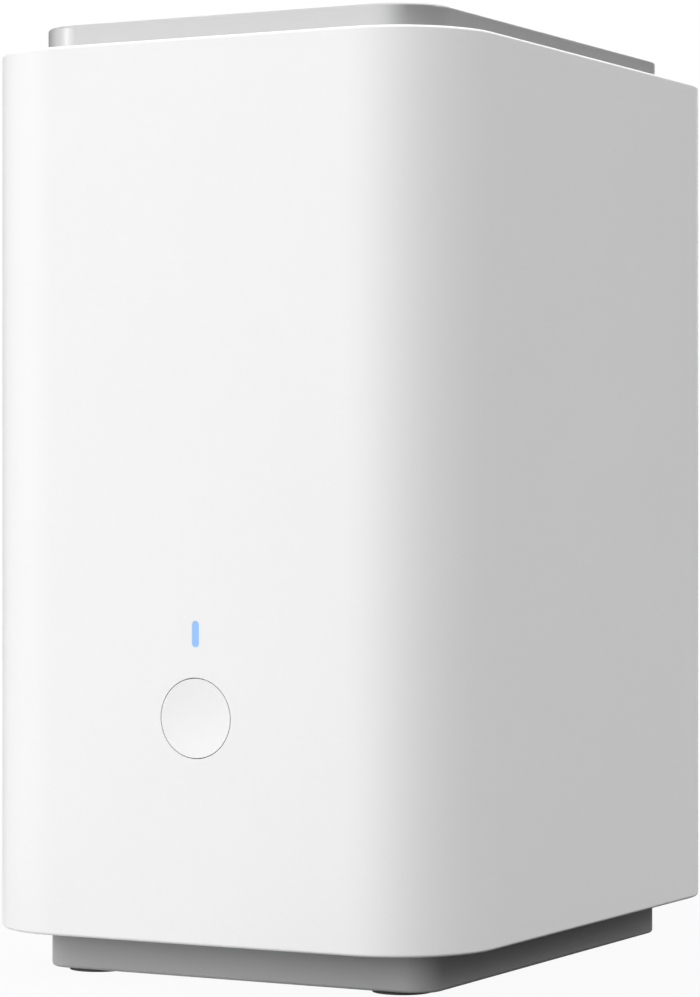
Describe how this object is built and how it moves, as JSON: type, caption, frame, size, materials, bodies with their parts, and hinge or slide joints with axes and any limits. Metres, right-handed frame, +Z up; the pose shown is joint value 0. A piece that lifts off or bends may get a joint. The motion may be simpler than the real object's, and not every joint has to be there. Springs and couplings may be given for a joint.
{
  "type": "security camera base station",
  "caption": "White upright rounded box on an inset grey plinth with an inset grey lid, a round press button and a pill light low on the front, and a vented back with sockets.",
  "frame": {"origin": "under the centre of the body, on the plane that the rubber feet stand on", "axes": "+Z up; -Y is the front with the button and the status light; +X is to the right seen from the front"},
  "size_m": [0.128, 0.164, 0.225],
  "materials": {
    "white_shell": "fine matt moulded texture",
    "lid_grey": "satin",
    "plinth_grey": "matt moulded",
    "panel_grey": "matt moulded",
    "frame_grey": "moulded, unpainted",
    "black_plastic": "moulded",
    "white_nylon": "moulded",
    "light_diffuser": "translucent, lit from behind",
    "rubber_dark": "matt",
    "soft_pad": "soft silicone",
    "screw_steel": "zinc plated",
    "sheet_steel": "rolled, uncoated",
    "cast_alloy": "die cast",
    "sink_alloy": "anodised",
    "board_green": "solder mask",
    "chip_black": "moulded epoxy",
    "tin_shield": "tin plated",
    "bearing_bronze": "sintered",
    "winding_copper": "enamelled copper wire",
    "paper_cone": "pressed paper",
    "magnet_steel": "dark plated",
    "cable_black": "soft PVC",
    "cable_white": "soft PVC"
  },
  "bodies": {
    "housing": {"outer_shell": "white_shell", "top_cap": "lid_grey", "cap_screws": "screw_steel", "base_tray": "plinth_grey", "rubber_feet": "rubber_dark", "shell_screws": "screw_steel", "frame_screws": "screw_steel", "rear_grille": "panel_grey", "port_panel": "panel_grey", "status_light_pipe": "light_diffuser", "status_led": "white_nylon", "front_board": "board_green", "front_board_screws": "screw_steel", "front_switch": "black_plastic", "front_board_cable": "cable_white", "inner_frame": "frame_grey", "drive_cage": "sheet_steel", "cage_screws": "screw_steel", "drive_grommets": "soft_pad", "drive_screws": "screw_steel", "drive_casting": "cast_alloy", "drive_cover": "sheet_steel", "drive_board": "board_green", "drive_plug": "black_plastic", "drive_socket": "white_nylon", "drive_cable": "cable_black", "main_board": "board_green", "board_screws": "screw_steel", "processor": "chip_black", "thermal_pad": "soft_pad", "heat_sink": "sink_alloy", "memory_chips": "chip_black", "power_coils": "chip_black", "capacitors": "tin_shield", "radio_modules": "tin_shield", "battery_holder": "black_plastic", "clock_battery": "tin_shield", "cable_sockets": "white_nylon", "ethernet_jack": "black_plastic", "usb_port": "tin_shield", "power_jack": "black_plastic", "reset_switch": "black_plastic", "fan_frame": "black_plastic", "fan_bearing": "bearing_bronze", "fan_coils": "winding_copper", "fan_screws": "screw_steel", "fan_cable": "cable_black", "speaker_frame": "sheet_steel", "speaker_magnet": "magnet_steel", "speaker_cone": "paper_cone", "speaker_surround": "rubber_dark", "speaker_gasket": "soft_pad", "speaker_screws": "screw_steel", "speaker_cable": "cable_black", "antennas": "board_green", "antenna_cables": "cable_white"},
    "button": {"front_button": "white_shell", "front_switch_plunger": "white_nylon"},
    "reset_pin": {"reset_plunger": "white_nylon"},
    "rotor": {"fan_rotor": "black_plastic"}
  },
  "joints": [
    {"name": "button_press", "type": "slide", "parent": "housing", "child": "button", "axis": [0, 1, 0], "range_m": [0, 0.0003], "stiffness_N_per_m": 400, "springref_m": -0.002},
    {"name": "reset_press", "type": "slide", "parent": "housing", "child": "reset_pin", "axis": [0, -1, 0], "range_m": [0, 0.00025], "stiffness_N_per_m": 400, "springref_m": -0.002},
    {"name": "fan_spin", "type": "hinge", "parent": "housing", "child": "rotor", "pos_m": [0, 0.0687, 0.1256], "axis": [0, 1, 0], "continuous": true}
  ]
}
